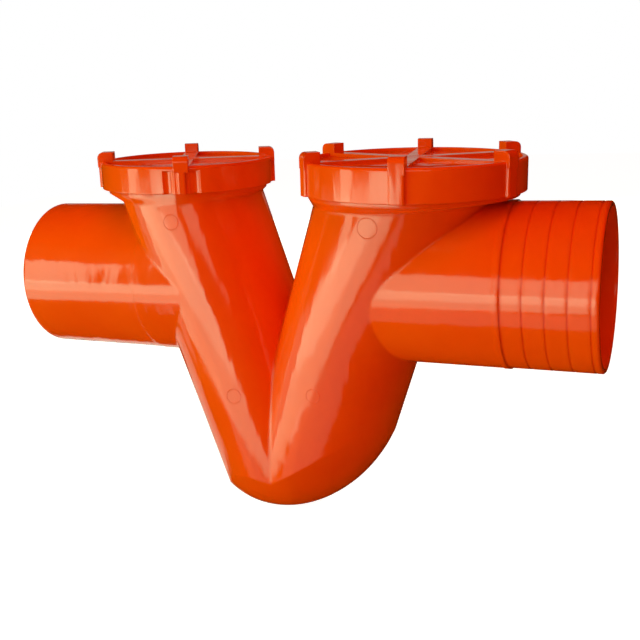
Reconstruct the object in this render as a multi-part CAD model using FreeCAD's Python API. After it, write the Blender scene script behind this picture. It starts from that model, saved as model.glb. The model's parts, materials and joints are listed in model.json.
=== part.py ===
"""Running trap for a 110 mm drain: one moulded body and two screwed access caps with rubber seals.

Millimetres. The pipe run lies along X, +Z is up, and the origin is the centre of the outlet stub's end.
"""
import FreeCAD
import Part
import math
import os

# Pipe run
PIPE_R = 55.0
WALL = 3.2
RUN_LENGTH = 422.0
INLET_RISE = 2.0
STUB_CHAMFER = 0.8

# Each stub is a spigot with a slightly thicker root. The outlet's root has mould draft and steps up to
# a collar near the leg; the inlet's starts with a stop bead, and its spigot has shallow grooves counted
# from its end.
SPIGOT_LENGTH = 59.2
SHOULDER_RISE = 0.4
DRAFT_RISE = 0.2
COLLAR_X = 99.0
COLLAR_RISE = 0.6
BEAD_WIDTH = 3.6
BEAD_RISE = 0.8
GROOVE_COUNT = 4
GROOVE_FIRST = 5.2
GROOVE_PITCH = 13.5
GROOVE_WIDTH = 1.2
GROOVE_DEPTH = 0.45

# Legs: oval tubes between level sections, from the flare down past the bowl. Sections are centred at
# X and have half widths; half depths are set against the pipe's radius. The inlet leg's right edge
# runs out to the cap above its waist.
LEG_LOW_Z = -185.0
LEG_LOW_TUCK = 2.1
OUTLET_LOW_X = 202.1
OUTLET_LOW_HALF = 48.6
OUTLET_TOP_X = 124.0
OUTLET_TOP_HALF = 49.5
OUTLET_TOP_SWELL = 2.0
INLET_LOW_X = 195.7
INLET_LOW_HALF = 52.1
INLET_TOP_X = 287.2
INLET_TOP_HALF = 61.8
INLET_TOP_SWELL = 5.5
INLET_WAIST_Z = -40.0
INLET_WAIST_RIGHT = 297.6

# Bowl: the ellipsoid that closes the legs below, its long axis leaning with the inlet leg
BOWL_X = 203.9
BOWL_Z = -88.9
BOWL_LONG = 93.8
BOWL_SHORT = 71.6
BOWL_SWELL = 9.5
BOWL_LEAN = 35.1
BOWL_OUTLET_Z = -126.0
BOWL_INLET_Z = -113.5

# Dip wall between the legs: its lower edge is this far below the outlet's invert
WATER_SEAL = 50.0
DIP_WALL = 4.0

# The run falls to the outlet while the caps stay level, so the necks lean by this angle to the run
FALL_ANGLE = 1.6

# Caps: outside radius, level of the skirt's lower edge, level of the rim, lugs
OUTLET_CAP_X = 120.1
OUTLET_CAP_R = 62.2
OUTLET_SKIRT_Z = 70.2
OUTLET_RIM_Z = 88.8
OUTLET_LUG_COUNT = 4
OUTLET_LUG_ANGLE = 27.0
INLET_CAP_X = 294.1
INLET_CAP_R = 75.1
INLET_SKIRT_Z = 65.3
INLET_RIM_Z = 86.8
INLET_LUG_COUNT = 6
INLET_LUG_ANGLE = 40.0
SKIRT_WALL = 3.0
RIM_WALL = 4.0
RIM_ROUND = 1.8
PANEL_DEPTH = 4.0
PANEL_THICKNESS = 3.0
LUG_WIDTH = 10.2
LUG_LENGTH = 9.2
LUG_RISE = 6.6
LUG_PROUD = 2.2
LUG_ROUND = 4.0
OUTLET_RIB_WIDTH = 6.0
INLET_RIB_WIDTH = 10.2
RIB_ROUND = 1.6
FLUTE_R = 5.5
FLUTE_DEPTH = 1.6
FLUTE_TOP_DROP = 3.0

# Necks and seals
THREAD_GAP = 1.4
NECK_FOOT_DROP = 3.4
FLARE_HEIGHT = 4.6
SEAL_THICKNESS = 3.0
SEAL_CLEARANCE = 0.02

V = FreeCAD.Vector
UP = V(0, 0, 1)
ALONG = V(1, 0, 0)
ACROSS = V(0, 1, 0)
OVERRUN = 5.0


class Leg:
    """A leg's level sections, the axis through them, and the levels of the neck and cap on top of it."""

    def __init__(self, low_x, low_half, top_x, top_half, swell, cap_x, cap_r, skirt_z, rim_z):
        self.low_half = low_half
        self.top_half = top_half
        self.low_depth = PIPE_R - LEG_LOW_TUCK
        self.top_depth = PIPE_R + swell
        self.cap_x = cap_x
        self.cap_r = cap_r
        self.skirt_z = skirt_z
        self.rim_z = rim_z
        self.panel_z = rim_z - PANEL_DEPTH - PANEL_THICKNESS
        self.neck_r = cap_r - SKIRT_WALL - THREAD_GAP
        self.neck_top_z = self.panel_z - SEAL_THICKNESS
        self.neck_foot_z = skirt_z - NECK_FOOT_DROP
        self.top_z = self.neck_foot_z - FLARE_HEIGHT
        self.low = V(low_x, 0, LEG_LOW_Z)
        self.rise = V(top_x, 0, self.top_z) - self.low
        self.up = V(self.rise).normalize()

    def share(self, z):
        return (z - LEG_LOW_Z) / self.rise.z

    def axis_at(self, z):
        return self.low + self.rise * self.share(z)

    def half_at(self, z):
        return self.low_half + (self.top_half - self.low_half) * self.share(z)

    def depth_at(self, z):
        return self.low_depth + (self.top_depth - self.low_depth) * self.share(z)

    def section(self, z, inset, right=None):
        """Level section, inset by a wall; right, where given, is the section's right edge."""
        centre = self.axis_at(z)
        half = self.half_at(z)
        if right is not None:
            left = centre.x - half
            centre.x = (left + right) / 2
            half = (right - left) / 2
        return oval(centre, half - inset / self.up.z, self.depth_at(z) - inset, ALONG)

    def levelled(self, shape):
        """Leans a neck's, cap's or seal's shape by the run's fall, about the middle of the skirt."""
        shape.rotate(V(self.cap_x, 0, (self.skirt_z + self.rim_z) / 2), ACROSS, FALL_ANGLE)
        return shape


def oval(centre, half_width, half_depth, width_axis):
    """Wire of an ellipse with its half-depth along Y, starting on the width axis."""
    normal = width_axis.cross(ACROSS)
    wide = width_axis * half_width
    deep = ACROSS * half_depth
    place = FreeCAD.Matrix(
        wide.x, deep.x, normal.x, centre.x,
        wide.y, deep.y, normal.y, centre.y,
        wide.z, deep.z, normal.z, centre.z,
        0, 0, 0, 1)
    circle = Part.makeCircle(1.0).toNurbs()
    return Part.Wire(circle.transformGeometry(place).Edges)


def disc_wire(centre, radius):
    return oval(centre, radius, radius, ALONG)


def upright(radius, z0, z1, x):
    return Part.makeCylinder(radius, z1 - z0, V(x, 0, z0), UP)


def leg_shaft(leg, inset, waist_z=None, waist_right=None):
    """The oval tube below the flare; inset is 0 outside and the wall inside."""
    wires = [leg.section(LEG_LOW_Z, inset), leg.section(leg.top_z, inset)]
    if waist_z is not None:
        wires.insert(1, leg.section(waist_z, inset, waist_right))
    return Part.makeLoft(wires, True, True)


def leg_head(leg, inset):
    """The flare and the round neck above a leg."""
    neck_low = leg.levelled(disc_wire(V(leg.cap_x, 0, leg.neck_foot_z), leg.neck_r - inset))
    flare = Part.makeLoft([leg.section(leg.top_z, inset), neck_low], True, True)
    over = OVERRUN if inset else 0
    neck = upright(leg.neck_r - inset, leg.neck_foot_z, leg.neck_top_z + over, leg.cap_x)
    return [flare, leg.levelled(neck)]


def bowl_trim(outlet, inlet, inset):
    """Tool that rounds the legs off below a slanting level where the bowl is wider than they are."""
    lean = math.radians(BOWL_LEAN)
    long_axis = V(math.sin(lean), 0, math.cos(lean))
    short_axis = V(math.cos(lean), 0, -math.sin(lean))
    long_half = BOWL_LONG - inset
    short_half = BOWL_SHORT - inset
    deep_half = PIPE_R + BOWL_SWELL - inset
    centre = V(BOWL_X, 0, BOWL_Z)
    wide = short_axis * short_half
    tall = long_axis * long_half
    place = FreeCAD.Matrix(
        wide.x, 0, tall.x, centre.x,
        0, deep_half, 0, 0,
        wide.z, 0, tall.z, centre.z,
        0, 0, 0, 1)
    dome = Part.makeSphere(1.0, V(0, 0, 0), ACROSS).transformGeometry(place)
    left = outlet.axis_at(BOWL_OUTLET_Z)
    right = inlet.axis_at(BOWL_INLET_Z)
    chord = right - left
    reach = 2 * BOWL_LONG
    block = Part.makeBox(2 * reach, 2 * reach, reach, V(-reach, -reach, -reach))
    block.rotate(V(0, 0, 0), ACROSS, -math.degrees(math.atan2(chord.z, chord.x)))
    block.translate(left + chord * 0.5)
    return block.cut(dome)


def passage(outlet, inlet, inset):
    """Legs, bowl and stubs as one solid: the moulding's outside, or its bore when inset by the wall."""
    outlet_shaft = leg_shaft(outlet, inset)
    inlet_shaft = leg_shaft(inlet, inset, INLET_WAIST_Z, INLET_WAIST_RIGHT)
    shafts = outlet_shaft.fuse(inlet_shaft).cut(bowl_trim(outlet, inlet, inset))
    over = OVERRUN if inset else 0
    radius = PIPE_R - inset
    outlet_x = outlet.axis_at(0).x
    inlet_x = inlet.axis_at(INLET_RISE).x
    outlet_stub = Part.makeCylinder(radius, outlet_x + over, V(-over, 0, 0), ALONG)
    inlet_stub = Part.makeCylinder(radius, RUN_LENGTH - inlet_x + over, V(inlet_x, 0, INLET_RISE), ALONG)
    return shafts.fuse(leg_head(outlet, inset) + leg_head(inlet, inset) + [outlet_stub, inlet_stub])


def dip_wall(outlet, inlet):
    """Tool for the wall that parts the two legs' bores, in the plane midway between their axes."""
    rise = outlet.up + inlet.up
    foot_z = DIP_WALL / 2 - (PIPE_R - WALL) - WATER_SEAL
    foot = (outlet.axis_at(foot_z) + inlet.axis_at(foot_z)) * 0.5
    half = PIPE_R + OVERRUN
    slab = Part.makeBox(DIP_WALL, 2 * half, -foot_z, V(-DIP_WALL / 2, -half, 0))
    edge = Part.makeCylinder(DIP_WALL / 2, 2 * half, V(0, -half, 0), ACROSS)
    wall = slab.fuse(edge)
    wall.rotate(V(0, 0, 0), ACROSS, math.degrees(math.atan2(rise.x, rise.z)))
    wall.translate(foot)
    return wall


def stub_steps(outlet, inlet):
    """The roots behind the two spigots, the outlet's collar and the inlet's stop bead."""
    inlet_x = inlet.axis_at(INLET_RISE).x
    stop_x = RUN_LENGTH - SPIGOT_LENGTH
    drafted = Part.makeCone(PIPE_R, PIPE_R + DRAFT_RISE, COLLAR_X - SPIGOT_LENGTH,
                            V(SPIGOT_LENGTH, 0, 0), ALONG)
    spans = [
        (COLLAR_RISE, COLLAR_X, outlet.axis_at(0).x, 0),
        (SHOULDER_RISE, inlet_x, stop_x, INLET_RISE),
        (BEAD_RISE, stop_x - BEAD_WIDTH, stop_x, INLET_RISE),
    ]
    steps = [Part.makeCylinder(PIPE_R + rise, x1 - x0, V(x0, 0, z), ALONG) for rise, x0, x1, z in spans]
    return [drafted] + steps


def inlet_grooves():
    """Ring tools that cut the insertion marks on the inlet's spigot."""
    grooves = []
    for index in range(GROOVE_COUNT):
        place = V(RUN_LENGTH - GROOVE_FIRST - index * GROOVE_PITCH, 0, INLET_RISE)
        blank = Part.makeCylinder(PIPE_R + OVERRUN, GROOVE_WIDTH, place, ALONG)
        core = Part.makeCylinder(PIPE_R - GROOVE_DEPTH, GROOVE_WIDTH, place, ALONG)
        grooves.append(blank.cut(core))
    return grooves


def end_chamfer(x, z, inward):
    """Tool that bevels a stub's outer end edge; inward is the unit vector into the stub."""
    blank = Part.makeCylinder(PIPE_R + OVERRUN, STUB_CHAMFER, V(x, 0, z), inward)
    core = Part.makeCone(PIPE_R - STUB_CHAMFER, PIPE_R, STUB_CHAMFER, V(x, 0, z), inward)
    return blank.cut(core)


def trap_body(outlet, inlet):
    outside = passage(outlet, inlet, 0).fuse(stub_steps(outlet, inlet))
    bore = passage(outlet, inlet, WALL).cut(dip_wall(outlet, inlet))
    bevels = [end_chamfer(0, 0, ALONG), end_chamfer(RUN_LENGTH, INLET_RISE, -ALONG)]
    return outside.cut([bore] + inlet_grooves() + bevels)


def lug(leg, angle, rib_width):
    """One lug with its rib down the skirt and its flat spoke across the panel, turned to its place."""
    half = LUG_WIDTH / 2
    inner = leg.cap_r - LUG_LENGTH
    panel_top = leg.rim_z - PANEL_DEPTH
    block = Part.makeBox(LUG_LENGTH + LUG_PROUD, LUG_WIDTH, PANEL_DEPTH + LUG_RISE, V(inner, -half, panel_top))
    corner = [e for e in block.Edges
              if e.BoundBox.XMin > leg.cap_r and e.BoundBox.ZMin > leg.rim_z]
    block = block.makeFillet(LUG_ROUND, corner)
    rib = Part.makeBox(SKIRT_WALL / 2 + LUG_PROUD, rib_width, leg.rim_z - leg.skirt_z,
                       V(leg.cap_r - SKIRT_WALL / 2, -rib_width / 2, leg.skirt_z))
    edges = [e for e in rib.Edges if e.BoundBox.XMin > leg.cap_r and e.BoundBox.ZLength > RIB_ROUND]
    rib = rib.makeFillet(RIB_ROUND, edges)
    spoke = Part.makeBox(leg.cap_r - RIM_WALL / 2, LUG_WIDTH, PANEL_DEPTH, V(0, -half, panel_top))
    solid = block.fuse([rib, spoke])
    solid.rotate(V(0, 0, 0), UP, angle)
    solid.translate(V(leg.cap_x, 0, 0))
    return solid


def flutes(leg, angle):
    """Tools for the two hollows that flank a lug's rib on the skirt."""
    reach = math.sqrt(FLUTE_R ** 2 - (FLUTE_R - FLUTE_DEPTH) ** 2)
    aside = math.degrees(math.asin((LUG_WIDTH / 2 + reach) / leg.cap_r))
    arm = leg.cap_r + FLUTE_R - FLUTE_DEPTH
    tools = []
    for turn in (angle - aside, angle + aside):
        tool = upright(FLUTE_R, leg.skirt_z - OVERRUN, leg.rim_z - FLUTE_TOP_DROP, 0)
        tool.translate(V(arm * math.cos(math.radians(turn)), arm * math.sin(math.radians(turn)), 0))
        tool.translate(V(leg.cap_x, 0, 0))
        tools.append(tool)
    return tools


def cap(leg, lug_count, first_angle, rib_width, fluted):
    blank = upright(leg.cap_r, leg.skirt_z, leg.rim_z, leg.cap_x)
    top_edge = [e for e in blank.Edges if e.BoundBox.ZMin > leg.rim_z - RIM_ROUND]
    blank = blank.makeFillet(RIM_ROUND, top_edge)
    recess = upright(leg.cap_r - RIM_WALL, leg.rim_z - PANEL_DEPTH, leg.rim_z + OVERRUN, leg.cap_x)
    hollow = upright(leg.cap_r - SKIRT_WALL, leg.skirt_z - OVERRUN, leg.panel_z, leg.cap_x)
    angles = [first_angle + index * 360 / lug_count for index in range(lug_count)]
    tools = [recess, hollow]
    if fluted:
        for angle in angles:
            tools += flutes(leg, angle)
    shell = blank.cut(tools)
    return leg.levelled(shell.fuse([lug(leg, angle, rib_width) for angle in angles]).removeSplitter())


def seal(leg):
    """Flat ring on the neck's rim; the clearance lets the cap turn over it."""
    top_z = leg.panel_z - SEAL_CLEARANCE
    ring = upright(leg.neck_r, leg.neck_top_z, top_z, leg.cap_x)
    return leg.levelled(ring.cut(upright(leg.neck_r - WALL, leg.neck_top_z, top_z, leg.cap_x)))


def main():
    outlet = Leg(OUTLET_LOW_X, OUTLET_LOW_HALF, OUTLET_TOP_X, OUTLET_TOP_HALF, OUTLET_TOP_SWELL,
                 OUTLET_CAP_X, OUTLET_CAP_R, OUTLET_SKIRT_Z, OUTLET_RIM_Z)
    inlet = Leg(INLET_LOW_X, INLET_LOW_HALF, INLET_TOP_X, INLET_TOP_HALF, INLET_TOP_SWELL,
                INLET_CAP_X, INLET_CAP_R, INLET_SKIRT_Z, INLET_RIM_Z)
    parts = {
        "trap_body": trap_body(outlet, inlet),
        "outlet_cap": cap(outlet, OUTLET_LUG_COUNT, OUTLET_LUG_ANGLE, OUTLET_RIB_WIDTH, True),
        "inlet_cap": cap(inlet, INLET_LUG_COUNT, INLET_LUG_ANGLE, INLET_RIB_WIDTH, False),
        "outlet_seal": seal(outlet),
        "inlet_seal": seal(inlet),
    }
    os.makedirs("parts", exist_ok=True)
    for name, shape in parts.items():
        shape.exportStep("parts/" + name + ".step")


main()
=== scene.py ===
"""Looks of the running trap: materials, threads, cap faces, mould marks, floor, light and camera. Metres."""
import json
import math
from collections import namedtuple

import bpy
from mathutils import Matrix, Vector
from mathutils.bvhtree import BVHTree


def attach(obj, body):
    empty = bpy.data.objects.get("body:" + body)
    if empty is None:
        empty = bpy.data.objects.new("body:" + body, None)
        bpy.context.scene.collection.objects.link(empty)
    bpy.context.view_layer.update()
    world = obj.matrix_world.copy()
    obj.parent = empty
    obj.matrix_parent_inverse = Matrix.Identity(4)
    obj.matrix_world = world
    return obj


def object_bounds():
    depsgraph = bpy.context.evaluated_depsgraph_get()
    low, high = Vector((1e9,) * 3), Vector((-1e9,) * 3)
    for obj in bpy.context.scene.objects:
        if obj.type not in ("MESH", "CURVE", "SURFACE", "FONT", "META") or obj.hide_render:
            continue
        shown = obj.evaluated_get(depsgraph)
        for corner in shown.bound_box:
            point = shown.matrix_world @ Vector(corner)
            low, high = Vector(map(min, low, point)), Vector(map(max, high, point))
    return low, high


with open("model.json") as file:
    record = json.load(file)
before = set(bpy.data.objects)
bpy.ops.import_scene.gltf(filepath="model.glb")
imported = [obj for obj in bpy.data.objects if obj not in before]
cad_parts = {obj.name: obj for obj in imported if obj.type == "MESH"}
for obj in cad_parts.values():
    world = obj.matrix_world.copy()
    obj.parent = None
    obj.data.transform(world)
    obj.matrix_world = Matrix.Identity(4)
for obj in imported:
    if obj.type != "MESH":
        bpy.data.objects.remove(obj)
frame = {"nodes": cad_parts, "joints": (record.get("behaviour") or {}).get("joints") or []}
cad_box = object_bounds()
nodes = frame["nodes"]
joints = {joint["name"]: joint for joint in frame["joints"]}

UP = Vector((0, 0, 1))
WHITE = (1, 1, 1, 1)

# Camera: its azimuth is 0 on the -Y side and grows towards +X
CAMERA_PLACE = (0.48212, -0.59221, 0.13833)
CAMERA_AZIMUTH = math.radians(23.853)
CAMERA_ELEVATION = math.radians(14.539)
CAMERA_ROLL = math.radians(-3.214)
LENS = 51.68
SENSOR = 36.0
CLIP_START = 0.01


def direction(azimuth, elevation):
    """Unit vector from the object towards an azimuth and an elevation."""
    level = math.cos(elevation)
    return Vector((math.sin(azimuth) * level, -math.cos(azimuth) * level, math.sin(elevation)))


def link_object(name, data):
    thing = bpy.data.objects.new(name, data)
    bpy.context.scene.collection.objects.link(thing)
    return thing


def add_camera():
    back = direction(CAMERA_AZIMUTH, CAMERA_ELEVATION)
    right = (-back).cross(UP).normalized()
    up = right.cross(-back)
    cosine = math.cos(CAMERA_ROLL)
    sine = math.sin(CAMERA_ROLL)
    rolled_right = right * cosine + up * sine
    rolled_up = up * cosine - right * sine
    data = bpy.data.cameras.new("camera")
    data.lens = LENS
    data.sensor_width = SENSOR
    data.clip_start = CLIP_START
    camera = link_object("camera", data)
    turn = Matrix((rolled_right, rolled_up, back)).transposed().to_4x4()
    camera.matrix_world = Matrix.Translation(CAMERA_PLACE) @ turn
    bpy.context.scene.camera = camera


# Materials
def new_material(name):
    material = bpy.data.materials.new(name)
    material.use_nodes = True
    tree = material.node_tree
    tree.nodes.clear()
    return material, tree


def new_surface(name):
    """A material with one principled shader, and the object coordinates that its textures follow."""
    material, tree = new_material(name)
    output = tree.nodes.new("ShaderNodeOutputMaterial")
    shader = tree.nodes.new("ShaderNodeBsdfPrincipled")
    tree.links.new(shader.outputs[0], output.inputs[0])
    place = tree.nodes.new("ShaderNodeTexCoord").outputs["Object"]
    return material, tree, shader, place


def noise(tree, place, scale, detail):
    texture = tree.nodes.new("ShaderNodeTexNoise")
    texture.inputs["Scale"].default_value = scale
    texture.inputs["Detail"].default_value = detail
    tree.links.new(place, texture.inputs["Vector"])
    return texture.outputs["Fac"]


def shades(tree, factor, dark, pale, span):
    """A colour that runs from dark to pale while the factor crosses the span."""
    ramp = tree.nodes.new("ShaderNodeValToRGB")
    for element, position, colour in zip(ramp.color_ramp.elements, span, (dark, pale)):
        element.position = position
        element.color = colour
    tree.links.new(factor, ramp.inputs["Fac"])
    return ramp.outputs["Color"]


# Orange PVC: its colour drifts between two shades, its gloss is uneven, and its walls are a little wavy
PVC_DEEP = (0.80, 0.095, 0.0010, 1)
PVC_PALE = (0.87, 0.130, 0.0016, 1)
DRIFT_SCALE = 14.0
DRIFT_DETAIL = 4.0
DRIFT_SPAN = (0.3, 0.75)
SCUFF_SCALE = 60.0
SCUFF_DETAIL = 6.0
ROUGHNESS_LOW = 0.05
ROUGHNESS_HIGH = 0.17
WAVE_STRETCH = (1.6, 1.6, 0.4)
WAVE_SCALE = 40.0
WAVE_DETAIL = 2.0
WAVE_STRENGTH = 0.32
WAVE_HEIGHT = 0.002
EDGE_ROUND = 0.0011
JUNCTION_ROUND = 0.0036
ROUND_SAMPLES = 12


def orange_pvc(name, edge_round):
    """Glossy pigmented PVC whose edges look rounded by the given radius."""
    material, tree, shader, place = new_surface(name)
    link = tree.links.new
    drift = noise(tree, place, DRIFT_SCALE, DRIFT_DETAIL)
    link(shades(tree, drift, PVC_DEEP, PVC_PALE, DRIFT_SPAN), shader.inputs["Base Color"])

    gloss = tree.nodes.new("ShaderNodeMapRange")
    gloss.inputs["To Min"].default_value = ROUGHNESS_LOW
    gloss.inputs["To Max"].default_value = ROUGHNESS_HIGH
    link(noise(tree, place, SCUFF_SCALE, SCUFF_DETAIL), gloss.inputs["Value"])
    link(gloss.outputs["Result"], shader.inputs["Roughness"])

    stretch = tree.nodes.new("ShaderNodeMapping")
    stretch.inputs["Scale"].default_value = WAVE_STRETCH
    link(place, stretch.inputs["Vector"])
    rounding = tree.nodes.new("ShaderNodeBevel")
    rounding.samples = ROUND_SAMPLES
    rounding.inputs["Radius"].default_value = edge_round
    bump = tree.nodes.new("ShaderNodeBump")
    bump.inputs["Strength"].default_value = WAVE_STRENGTH
    bump.inputs["Distance"].default_value = WAVE_HEIGHT
    link(noise(tree, stretch.outputs["Vector"], WAVE_SCALE, WAVE_DETAIL), bump.inputs["Height"])
    link(rounding.outputs["Normal"], bump.inputs["Normal"])
    link(bump.outputs["Normal"], shader.inputs["Normal"])
    return material


# Black seal rubber with a fine grain
RUBBER_DARK = (0.016, 0.016, 0.016, 1)
RUBBER_PALE = (0.035, 0.035, 0.034, 1)
RUBBER_SPAN = (0.0, 1.0)
RUBBER_ROUGHNESS = 0.7
GRAIN_SCALE = 300.0
GRAIN_DETAIL = 2.0


def seal_rubber():
    material, tree, shader, place = new_surface("seal_rubber")
    grain = noise(tree, place, GRAIN_SCALE, GRAIN_DETAIL)
    tree.links.new(shades(tree, grain, RUBBER_DARK, RUBBER_PALE, RUBBER_SPAN), shader.inputs["Base Color"])
    shader.inputs["Roughness"].default_value = RUBBER_ROUGHNESS
    return material


def dress(material, *names):
    """Give solids of the frame their finish."""
    for name in names:
        data = nodes[name].data
        data.materials.clear()
        data.materials.append(material)


def add_piece(name, points, faces, body, material, smooth=True):
    """A visible piece of PVC that rides on a body."""
    mesh = bpy.data.meshes.new(name)
    mesh.from_pydata(points, [], faces)
    mesh.validate()
    mesh.update()
    for polygon in mesh.polygons:
        polygon.use_smooth = smooth
    mesh.materials.append(material)
    piece = link_object(name, mesh)
    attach(piece, body)


# Closures: each neck and its screw cap. Levels are measured along the neck's axis from the cap's joint.
Closure = namedtuple("Closure", "name neck_radius neck_foot cap_foot panel_radius panel_level")
CLOSURES = (
    Closure("outlet", neck_radius=0.0578, neck_foot=-0.0085, cap_foot=-0.0055,
            panel_radius=0.0582, panel_level=0.0053),
    Closure("inlet", neck_radius=0.0707, neck_foot=-0.0100, cap_foot=-0.0070,
            panel_radius=0.0711, panel_level=0.00675),
)


def on_neck(closure, radius, turn, level):
    """The point at a radius, a turn and a level about a closure's axis."""
    joint = joints[closure.name + "_turn"]
    lean = UP.rotation_difference(Vector(joint["axis"])).to_matrix()
    spot = Vector((radius * math.cos(turn), radius * math.sin(turn), level))
    return Vector(joint["pos_m"]) + lean @ spot


# Screw threads: one right-handed ridge on each neck and one inside each cap, half a lead apart
THREAD_LEAD = 0.006
THREAD_GAP = 0.0014
THREAD_HEIGHT = 0.0009
THREAD_SUNK = 0.0001
THREAD_BASE = 0.0022
THREAD_CREST = 0.0011
THREAD_STEP = math.radians(3)
THREAD_RUNOUT = math.radians(25)
NECK_THREAD_TOP = -0.0020
CAP_THREAD_TOP = 0.0


def thread(name, closure, radius, inward, low, high, body, material):
    """A ridge of trapezium section between two levels, running out at both ends."""
    sign = -1 if inward else 1
    root = radius - sign * THREAD_SUNK
    total = (high - low) / THREAD_LEAD * 2 * math.pi
    count = int(total / THREAD_STEP)
    points = []
    for index in range(count + 1):
        turn = total * index / count
        share = min(1, turn / THREAD_RUNOUT, (total - turn) / THREAD_RUNOUT)
        crest = radius + sign * (THREAD_HEIGHT * share - THREAD_SUNK * (1 - share))
        level = low + THREAD_LEAD * turn / (2 * math.pi)
        section = ((root, -THREAD_BASE / 2), (crest, -THREAD_CREST / 2),
                   (crest, THREAD_CREST / 2), (root, THREAD_BASE / 2))
        for r, rise in section:
            points.append(on_neck(closure, r, turn, level + rise))
    faces = [(0, 1, 2, 3), tuple(4 * count + corner for corner in (3, 2, 1, 0))]
    for index in range(count):
        for side in range(4):
            a = 4 * index + side
            b = 4 * index + (side + 1) % 4
            faces.append((a, a + 4, b + 4, b))
    if inward:
        faces = [tuple(reversed(face)) for face in faces]
    add_piece(name, points, faces, body, material, smooth=False)


def add_threads(closure, material):
    thread(closure.name + "_neck_thread", closure, closure.neck_radius, False,
           closure.neck_foot, NECK_THREAD_TOP, "trap", material)
    thread(closure.name + "_cap_thread", closure, closure.neck_radius + THREAD_GAP, True,
           closure.cap_foot, CAP_THREAD_TOP, closure.name + "_screw_cap", material)


# Cap faces: the raised panel between the ribs of each cap, slightly crowned, with a rounded border
FACE_SEGMENTS = 120
FACE_RISE = 0.0018
FACE_CROWN = 0.0003
FACE_BORDER = 0.0009
FACE_GAP = 0.0002
FACE_SUNK = 0.0002
FACE_HUB = 0.15
FACE_SHOULDER = 0.5
FACE_CHAMFER = 0.3


def add_cap_face(closure, material):
    """A crowned disc that fills the cap's recess from its floor up to a level below the rim."""
    edge = closure.panel_radius - FACE_GAP
    top = closure.panel_level + FACE_RISE
    chamfer = FACE_CHAMFER * FACE_BORDER
    profile = (
        (FACE_HUB * edge, top + FACE_CROWN),
        (FACE_SHOULDER * edge, top + FACE_CROWN * (1 - FACE_SHOULDER ** 2)),
        (edge - FACE_BORDER, top),
        (edge - chamfer, top - chamfer),
        (edge, top - FACE_BORDER),
        (edge, closure.panel_level - FACE_SUNK),
    )
    points = []
    for radius, level in profile:
        for index in range(FACE_SEGMENTS):
            points.append(on_neck(closure, radius, 2 * math.pi * index / FACE_SEGMENTS, level))
    faces = [tuple(range(FACE_SEGMENTS))]
    for ring in range(len(profile) - 1):
        for index in range(FACE_SEGMENTS):
            a = ring * FACE_SEGMENTS + index
            b = ring * FACE_SEGMENTS + (index + 1) % FACE_SEGMENTS
            faces.append((a, a + FACE_SEGMENTS, b + FACE_SEGMENTS, b))
    last = (len(profile) - 1) * FACE_SEGMENTS
    faces.append(tuple(last + index for index in reversed(range(FACE_SEGMENTS))))
    add_piece(closure.name + "_cap_face", points, faces, closure.name + "_screw_cap", material)


# Mould marks: low rings where the tool's pins met the moulding, each with its middle and its radius
MARK_SEGMENTS = 56
MARK_WIDTH = 0.00085
MARK_RISE = 0.00028
MARK_SUNK = 0.00012
MARK_FLANK = 0.6
MARK_FLANK_RISE = 0.7 * MARK_RISE
MARKS = (
    ((0.13677, -0.05583, 0.05005), 0.0052),
    ((0.17407, -0.05415, -0.07390), 0.0052),
    ((0.28197, -0.06016, 0.04822), 0.0066),
    ((0.23655, -0.05654, -0.06761), 0.0050),
)


def mark(name, middle, radius, surface, material):
    """A ring of low rounded section laid on the moulding's surface."""
    middle, normal, _, _ = surface.find_nearest(Vector(middle))
    side = normal.cross(UP).normalized()
    up = side.cross(normal)
    profile = (
        (-1, -MARK_SUNK),
        (-MARK_FLANK, MARK_FLANK_RISE),
        (0, MARK_RISE),
        (MARK_FLANK, MARK_FLANK_RISE),
        (1, -MARK_SUNK),
    )
    points = []
    for index in range(MARK_SEGMENTS):
        turn = 2 * math.pi * index / MARK_SEGMENTS
        away = side * math.cos(turn) + up * math.sin(turn)
        for across, rise in profile:
            guess = middle + away * (radius + across * MARK_WIDTH / 2)
            place, facing, _, _ = surface.find_nearest(guess)
            points.append(place + facing * rise)
    width = len(profile)
    faces = []
    for index in range(MARK_SEGMENTS):
        here = width * index
        there = width * ((index + 1) % MARK_SEGMENTS)
        for step in range(width - 1):
            faces.append((here + step, here + step + 1, there + step + 1, there + step))
    add_piece(name, points, faces, "trap", material)


def add_marks(material):
    data = nodes["trap_body"].data
    surface = BVHTree.FromPolygons([v.co for v in data.vertices], [p.vertices for p in data.polygons])
    for index, (middle, radius) in enumerate(MARKS):
        mark("mould_mark_%d" % (index + 1), middle, radius, surface, material)


# Floor: a pale table that takes the shadow. Mirror rays pass it, so the gloss shows the dark room below.
FLOOR_LEFT = -1.5
FLOOR_RIGHT = 2.5
FLOOR_FRONT = -1.5
FLOOR_BACK = 3.0
FLOOR_DROP = 0.0002
FLOOR_SHADE = (0.6, 0.6, 0.6, 1)
FLOOR_GLOW = 0.97


def pale_floor():
    """A matt grey that glows almost white for the camera alone."""
    material, tree = new_material("pale_floor")
    new = tree.nodes.new
    link = tree.links.new
    output = new("ShaderNodeOutputMaterial")
    diffuse = new("ShaderNodeBsdfDiffuse")
    diffuse.inputs["Color"].default_value = FLOOR_SHADE
    ray = new("ShaderNodeLightPath")
    level = new("ShaderNodeMath")
    level.operation = "MULTIPLY"
    link(ray.outputs["Is Camera Ray"], level.inputs[0])
    level.inputs[1].default_value = FLOOR_GLOW
    glow = new("ShaderNodeEmission")
    link(level.outputs[0], glow.inputs["Strength"])
    both = new("ShaderNodeAddShader")
    link(diffuse.outputs[0], both.inputs[0])
    link(glow.outputs[0], both.inputs[1])
    link(both.outputs[0], output.inputs[0])
    return material


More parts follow.
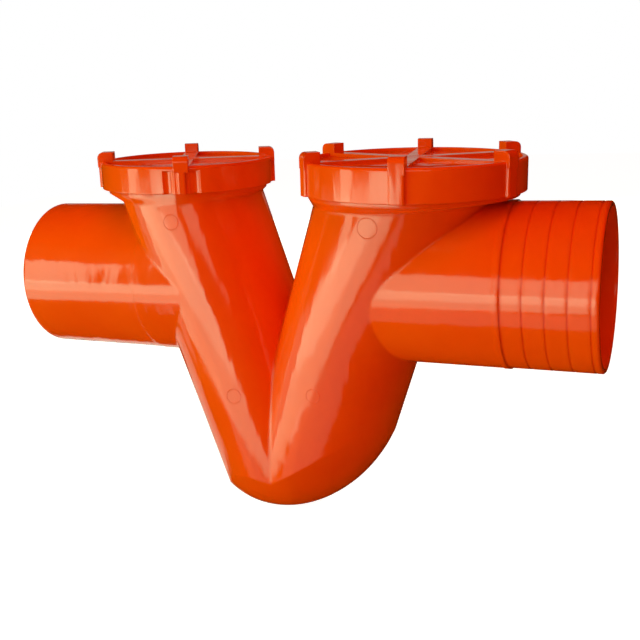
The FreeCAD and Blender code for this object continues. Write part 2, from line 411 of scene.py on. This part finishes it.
def add_floor():
    z = cad_box[0][2] - FLOOR_DROP
    corners = [(FLOOR_LEFT, FLOOR_FRONT, z), (FLOOR_RIGHT, FLOOR_FRONT, z),
               (FLOOR_RIGHT, FLOOR_BACK, z), (FLOOR_LEFT, FLOOR_BACK, z)]
    mesh = bpy.data.meshes.new("floor")
    mesh.from_pydata(corners, [], [(0, 1, 2, 3)])
    mesh.materials.append(pale_floor())
    floor = link_object("floor", mesh)
    floor.visible_glossy = False
    floor.visible_shadow = False


# World: white to the camera, a dim reddish room to everything else, and black to the gloss
ROOM_LIGHT = 0.05
ROOM_TINT = (1.0, 0.4, 0.3, 1)


def add_world():
    world = bpy.data.worlds.new("studio")
    bpy.context.scene.world = world
    world.use_nodes = True
    tree = world.node_tree
    tree.nodes.clear()
    new = tree.nodes.new
    link = tree.links.new
    output = new("ShaderNodeOutputWorld")
    background = new("ShaderNodeBackground")
    link(background.outputs[0], output.inputs[0])
    ray = new("ShaderNodeLightPath")
    colour = new("ShaderNodeMixRGB")
    colour.inputs["Color1"].default_value = ROOM_TINT
    colour.inputs["Color2"].default_value = WHITE
    link(ray.outputs["Is Camera Ray"], colour.inputs["Fac"])
    link(colour.outputs["Color"], background.inputs["Color"])
    matt = new("ShaderNodeMath")
    matt.operation = "MULTIPLY_ADD"
    link(ray.outputs["Is Glossy Ray"], matt.inputs[0])
    matt.inputs[1].default_value = -ROOM_LIGHT
    matt.inputs[2].default_value = ROOM_LIGHT
    level = new("ShaderNodeMath")
    level.operation = "MAXIMUM"
    link(ray.outputs["Is Camera Ray"], level.inputs[0])
    link(matt.outputs[0], level.inputs[1])
    link(level.outputs[0], background.inputs["Strength"])


# Lamps: soft panels that face the object, placed by azimuth and elevation in degrees and by distance.
# The matt colour is lit by the first list, and the gloss mirrors the second.
LAMP_CENTRE = Vector((0.2, 0, 0))
DAYLIGHT = (1.0, 0.95, 0.5)
LEFTLIGHT = (0.6, 1.0, 0.4)
LAMPLIGHT = (1.0, 0.07, 0.05)
SKYLIGHT = (0.65, 1.0, 0.66)
WALLLIGHT = (0.75, 0.85, 0.7)
EVENING = (1.0, 0.18, 0.12)
Lamp = namedtuple("Lamp", "name azimuth elevation distance width height radiance colour")
MATT_LAMPS = (
    Lamp("window_low", -46, -33, 1.5, 1.8, 0.8, 2.8, DAYLIGHT),
    Lamp("window_left", -45, 20, 1.5, 1.4, 0.8, 3.5, LEFTLIGHT),
    Lamp("lamp_front", 8, 0, 1.5, 1.5, 0.9, 2.0, LAMPLIGHT),
    Lamp("ceiling", 0, 85, 1.5, 1.5, 1.5, 1.65, LAMPLIGHT),
    Lamp("lamp_right", 35, 52, 1.5, 1.0, 1.0, 2.2, EVENING),
    Lamp("lamp_behind", 205, 12, 1.5, 1.8, 1.2, 1.8, DAYLIGHT),
    Lamp("lamp_side", 152, 5, 1.5, 0.8, 1.0, 2.0, DAYLIGHT),
)
GLOSS_LAMPS = (
    Lamp("pane_high", -30, -8.4, 1.2, 1.81, 0.235, 5.2, SKYLIGHT),
    Lamp("pane_low", -30, -19.6, 1.2, 1.81, 0.235, 3.2, SKYLIGHT),
    Lamp("pane_left", -47, 8, 1.2, 0.28, 0.5, 3.9, SKYLIGHT),
    Lamp("pane_middle", -8, 8, 1.2, 0.62, 0.5, 3.0, SKYLIGHT),
    Lamp("pane_right", 26, 14, 1.2, 0.46, 0.3, 2.0, SKYLIGHT),
    Lamp("table_front", -8, -35, 1.2, 1.3, 0.42, 0.9, WALLLIGHT),
    Lamp("pane_side", -75, -14, 1.2, 0.32, 0.47, 0.9, WALLLIGHT),
    Lamp("pane_behind", -104, -26, 1.2, 0.62, 0.4, 0.9, WALLLIGHT),
    Lamp("pane_back", -142, -32, 1.2, 0.7, 0.35, 1.0, WALLLIGHT),
    Lamp("wall_behind", -150, 6, 2.0, 2.0, 0.42, 0.4, WALLLIGHT),
)


def add_lamp(lamp, glossy):
    data = bpy.data.lights.new(lamp.name, "AREA")
    data.shape = "RECTANGLE"
    data.size = lamp.width
    data.size_y = lamp.height
    data.energy = lamp.radiance * math.pi * lamp.width * lamp.height
    data.color = lamp.colour
    away = direction(math.radians(lamp.azimuth), math.radians(lamp.elevation))
    panel = link_object(lamp.name, data)
    panel.location = LAMP_CENTRE + away * lamp.distance
    panel.rotation_euler = away.to_track_quat("Z", "Y").to_euler()
    panel.visible_camera = False
    panel.visible_glossy = glossy
    panel.visible_diffuse = not glossy


bpy.context.scene.view_settings.view_transform = "Standard"
add_camera()
add_floor()
add_world()
for lamp in MATT_LAMPS:
    add_lamp(lamp, glossy=False)
for lamp in GLOSS_LAMPS:
    add_lamp(lamp, glossy=True)

pvc = orange_pvc("orange_pvc", EDGE_ROUND)
body_pvc = orange_pvc("orange_pvc_body", JUNCTION_ROUND)
dress(body_pvc, "trap_body")
dress(pvc, "outlet_cap", "inlet_cap")
dress(seal_rubber(), "outlet_seal", "inlet_seal")
for closure in CLOSURES:
    add_threads(closure, pvc)
for closure in CLOSURES:
    add_cap_face(closure, pvc)
add_marks(pvc)
